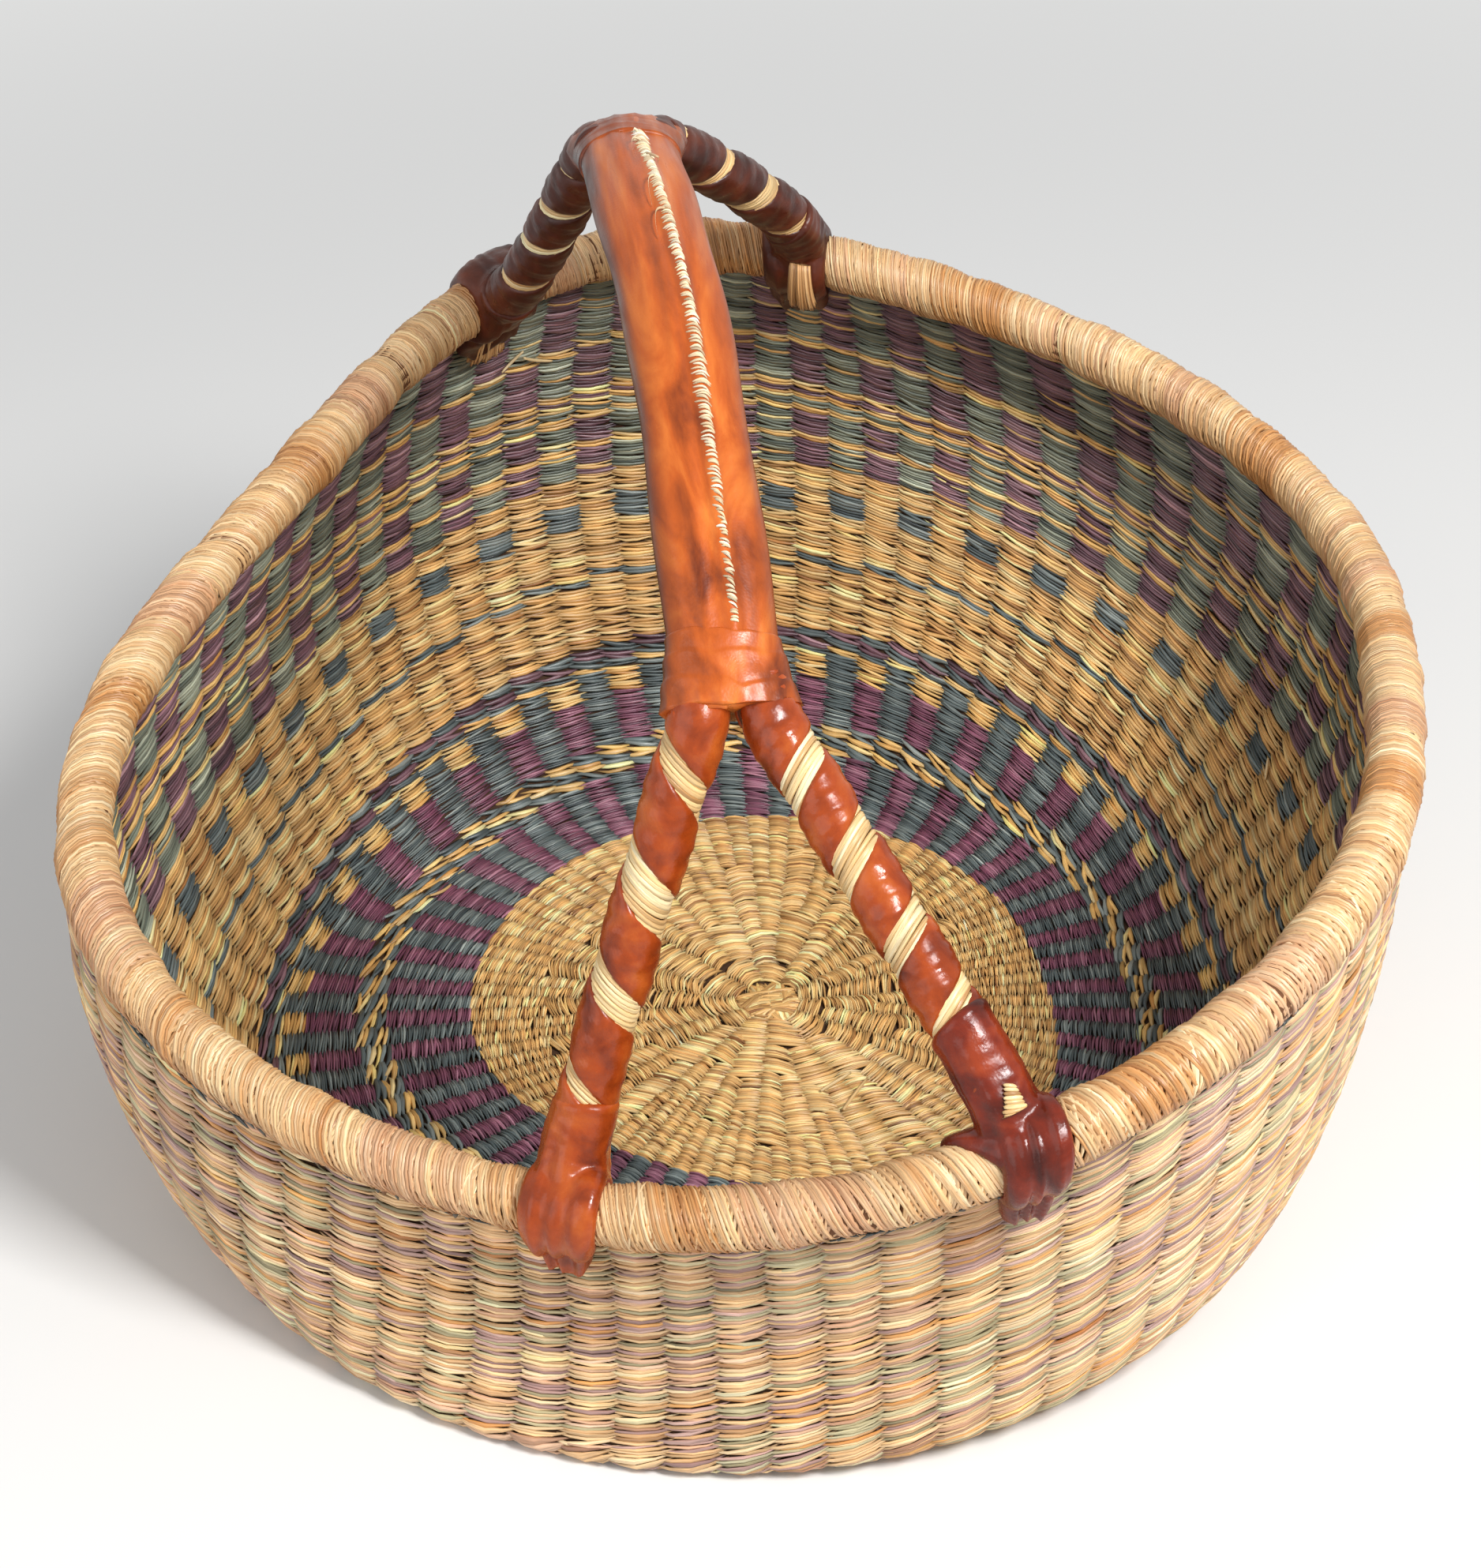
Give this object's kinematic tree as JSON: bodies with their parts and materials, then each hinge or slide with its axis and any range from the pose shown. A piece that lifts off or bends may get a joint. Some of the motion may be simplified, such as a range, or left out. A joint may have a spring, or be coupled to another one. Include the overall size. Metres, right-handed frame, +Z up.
{
  "type": "bolga basket",
  "caption": "Round market basket of twined straw with dyed bands, a thick wound rim and one arched handle of leather-wrapped straw bundles",
  "frame": {"origin": "on the surface that the basket stands on, under the middle of its outline", "axes": "+Z up; the handle runs along Y, with its low front feet at -Y and its high back feet at +Y; +X to the right"},
  "size_m": [0.4552, 0.4634, 0.3211],
  "materials": {
    "straw": "matt twined straw, natural with dyed blue-grey and purple bands",
    "grip_leather": "orange-brown hide, smooth and mottled",
    "leg_leather": "dark red-brown hide, creased",
    "lacing": "pale waxed cord"
  },
  "bodies": {
    "root": {"woven_bowl": "straw", "rim_core": "straw", "rim_wrap": "straw", "foot_cuff_front_left": "leg_leather", "straw_tail_front_left": "straw", "leg_wrap_front_left": "straw", "leg_strip_front_left": "leg_leather", "foot_cuff_front_right": "leg_leather", "straw_tail_front_right": "straw", "leg_wrap_front_right": "straw", "leg_strip_front_right": "leg_leather", "foot_cuff_back_left": "leg_leather", "straw_tail_back_left": "straw", "leg_wrap_back_left": "straw", "leg_strip_back_left": "leg_leather", "foot_cuff_back_right": "leg_leather", "straw_tail_back_right": "straw", "leg_wrap_back_right": "straw", "leg_strip_back_right": "leg_leather", "handle_bundle_left": "straw", "handle_bundle_right": "straw", "grip_sleeve": "grip_leather", "collar_front": "grip_leather", "collar_back": "grip_leather", "grip_lacing": "lacing"}
  },
  "joints": []
}
